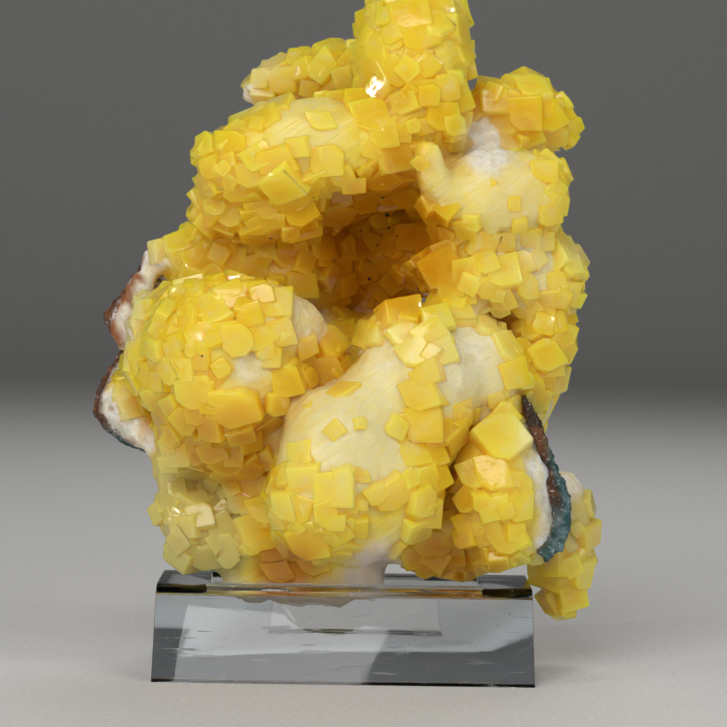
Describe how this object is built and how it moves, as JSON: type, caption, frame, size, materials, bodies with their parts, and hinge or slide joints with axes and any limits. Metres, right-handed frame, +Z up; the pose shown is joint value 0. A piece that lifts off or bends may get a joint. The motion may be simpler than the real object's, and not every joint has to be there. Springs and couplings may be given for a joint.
{
  "type": "heulandite crystal cluster",
  "caption": "Golden zeolite crystal cluster on branching fingers, with rinds of host rock, standing on a folded clear acrylic riser.",
  "frame": {"origin": "under the middle of the whole object's box, on the surface that the riser stands on", "axes": "+Z up, -Y towards the front of the specimen, +X to the viewer's right"},
  "size_m": [0.1048, 0.0754, 0.1397],
  "materials": {
    "heulandite": "cloudy translucent golden crystals with a satin lustre on pale fingers",
    "basalt": "rough dark brown and blue-green rock",
    "clear_acrylic": "clear polished acrylic with fine scratches and dust"
  },
  "bodies": {
    "root": {"crystal_cluster": "heulandite", "host_rock_left": "basalt", "host_rock_right": "basalt", "display_stand": "clear_acrylic"}
  },
  "joints": []
}
